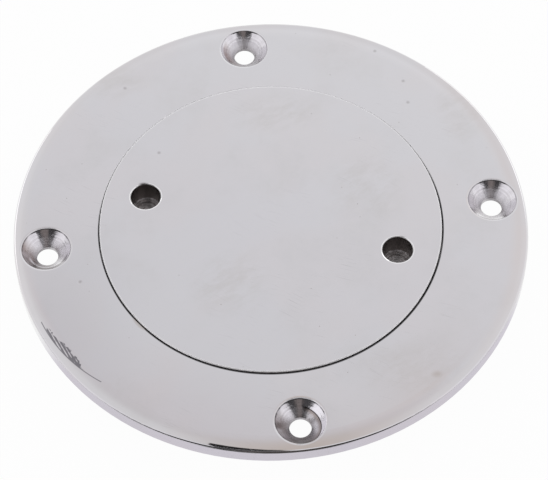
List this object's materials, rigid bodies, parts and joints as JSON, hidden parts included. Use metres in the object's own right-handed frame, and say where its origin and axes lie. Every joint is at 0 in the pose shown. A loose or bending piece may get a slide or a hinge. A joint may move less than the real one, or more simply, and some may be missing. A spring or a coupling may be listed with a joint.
{
  "type": "deck inspection plate",
  "caption": "Round polished deck plate: a flange with countersunk screw holes and a threaded collar, closed by a flush screw-in lid with blind key holes.",
  "frame": {"origin": "centre of the circle of screw holes, in the plane of the deck face under the flange", "axes": "+Z points out of the deck along the axis of the collar; the screw holes are on X and Y"},
  "size_m": [0.115, 0.115, 0.0155],
  "materials": {
    "ring_steel": "mirror polished above, cast and turned below",
    "lid_steel": "mirror polished above, cast and turned below",
    "seal_rubber": "matt"
  },
  "bodies": {
    "ring_body": {"deck_ring": "ring_steel"},
    "seal_body": {"lid_seal": "seal_rubber"},
    "lid_body": {"lid": "lid_steel"}
  },
  "joints": [
    {"name": "lid_rise", "type": "slide", "parent": "ring_body", "child": "seal_body", "axis": [0, 0, 1], "range_m": [0, 0.01351]},
    {"name": "lid_turn", "type": "hinge", "parent": "seal_body", "child": "lid_body", "pos_m": [0, 0, 0], "axis": [0, 0, 1], "range_deg": [0, 1620]}
  ],
  "couplings": [
    {"joint": "lid_rise", "follows": "lid_turn", "m_per_rad": 0.00047746}
  ]
}
